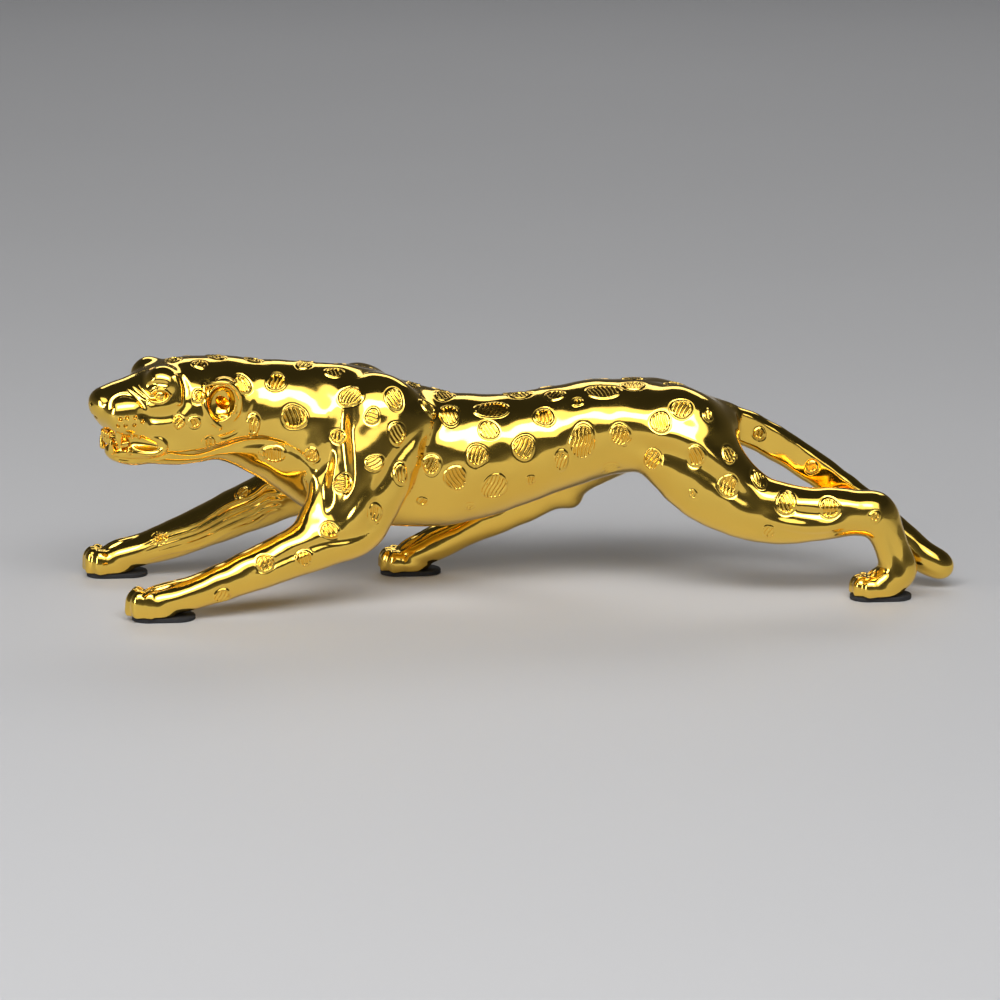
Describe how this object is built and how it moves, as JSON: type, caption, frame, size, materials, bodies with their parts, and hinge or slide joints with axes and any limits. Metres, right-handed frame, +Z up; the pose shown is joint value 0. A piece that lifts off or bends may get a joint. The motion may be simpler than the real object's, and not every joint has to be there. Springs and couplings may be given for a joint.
{
  "type": "hood ornament",
  "caption": "Gold-plated hood ornament: a stalking spotted big cat with its mouth open, separate pinned legs and tail, foam pads and tapped holes under the paws.",
  "frame": {"origin": "on the bonnet surface, below the middle of the figure's bounding box", "axes": "+X from the head to the tail, +Y to the cat's right side, +Z up"},
  "size_m": [0.2064, 0.0498, 0.0568],
  "materials": {
    "gold_plate": "mirror-polished gold plate over a zinc casting",
    "pin_steel": "ground steel dowel pin",
    "pad_foam": "black adhesive foam pad"
  },
  "bodies": {
    "root": {"body_casting": "gold_plate", "left_foreleg": "gold_plate", "right_foreleg": "gold_plate", "left_hind_leg": "gold_plate", "right_hind_leg": "gold_plate", "tail": "gold_plate", "left_shoulder_pins": "pin_steel", "right_shoulder_pins": "pin_steel", "left_hip_pins": "pin_steel", "right_hip_pins": "pin_steel", "tail_pin": "pin_steel", "left_fore_pad": "pad_foam", "right_fore_pad": "pad_foam", "left_hind_pad": "pad_foam", "right_hind_pad": "pad_foam"}
  },
  "joints": []
}
